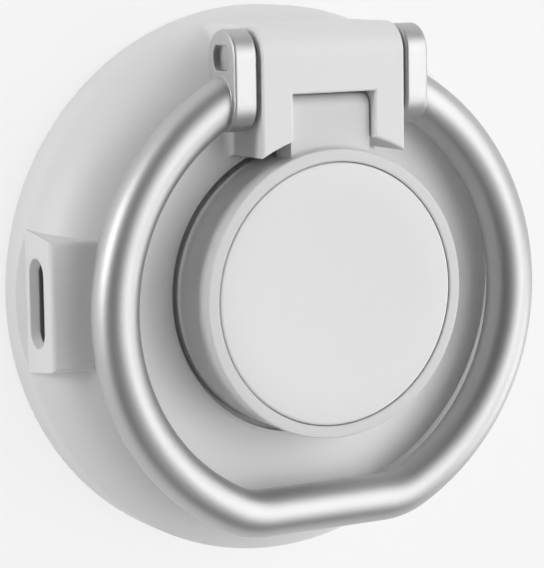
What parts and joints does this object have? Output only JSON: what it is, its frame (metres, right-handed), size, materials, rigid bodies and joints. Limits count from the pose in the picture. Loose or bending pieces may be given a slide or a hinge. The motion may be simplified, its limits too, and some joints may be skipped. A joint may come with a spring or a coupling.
{
  "type": "folding wireless charging stand",
  "caption": "Round magnetic phone charging pad with a fold-out watch charging pad and a hinged metal ring stand on its back.",
  "frame": {"origin": "centre of the phone face, which the charger lies on", "axes": "+Z out of the back, through the watch pad; +Y towards the hinge block; the lead's socket faces -X"},
  "size_m": [0.058, 0.058, 0.0184],
  "materials": {
    "white_plastic": "fine matt moulded white",
    "dish_white": "smooth satin white",
    "pad_silicone": "soft matt white",
    "ring_metal": "satin bead-blasted silver",
    "steel": "plain bright steel",
    "magnet_plate": "nickel plated",
    "copper": "enamelled copper winding",
    "contact_gold": "plated",
    "ferrite": "dark matt ferrite",
    "black_plastic": "matt black moulded",
    "board_green": "solder mask",
    "capacitor_tan": "fired ceramic",
    "heat_silicone": "soft grey sheet"
  },
  "bodies": {
    "charger_body": {"rear_housing": "white_plastic", "phone_face_cover": "white_plastic", "phone_pad": "pad_silicone", "phone_magnets": "magnet_plate", "magnet_yoke": "steel", "phone_coil": "copper", "phone_ferrite": "ferrite", "coil_carrier": "black_plastic", "heat_sheet": "heat_silicone", "main_circuit_board": "board_green", "power_inductors": "ferrite", "control_chips": "black_plastic", "capacitors": "capacitor_tan", "board_screws": "steel", "socket_shell": "steel", "socket_tongue": "black_plastic", "socket_contacts": "contact_gold", "hinge_sleeves": "contact_gold", "watch_hinge_pin": "steel"},
    "ring": {"stand_ring": "ring_metal", "right_hinge_shaft": "steel", "left_hinge_shaft": "steel", "spring_washers": "steel", "shaft_clips": "steel"},
    "watch_pad": {"watch_arm": "white_plastic", "watch_dish": "dish_white", "watch_coil": "copper", "watch_ferrite": "ferrite", "watch_magnet": "magnet_plate", "watch_coil_holder": "black_plastic", "watch_circuit_board": "board_green", "watch_board_chips": "black_plastic", "watch_base_cover": "white_plastic"}
  },
  "joints": [
    {"name": "ring_hinge", "type": "hinge", "parent": "charger_body", "child": "ring", "pos_m": [0, 0.02425, 0.01515], "axis": [-1, 0, 0], "range_deg": [0, 180]},
    {"name": "watch_hinge", "type": "hinge", "parent": "charger_body", "child": "watch_pad", "pos_m": [0, 0.0188, 0.01575], "axis": [-1, 0, 0], "range_deg": [0, 90]}
  ]
}
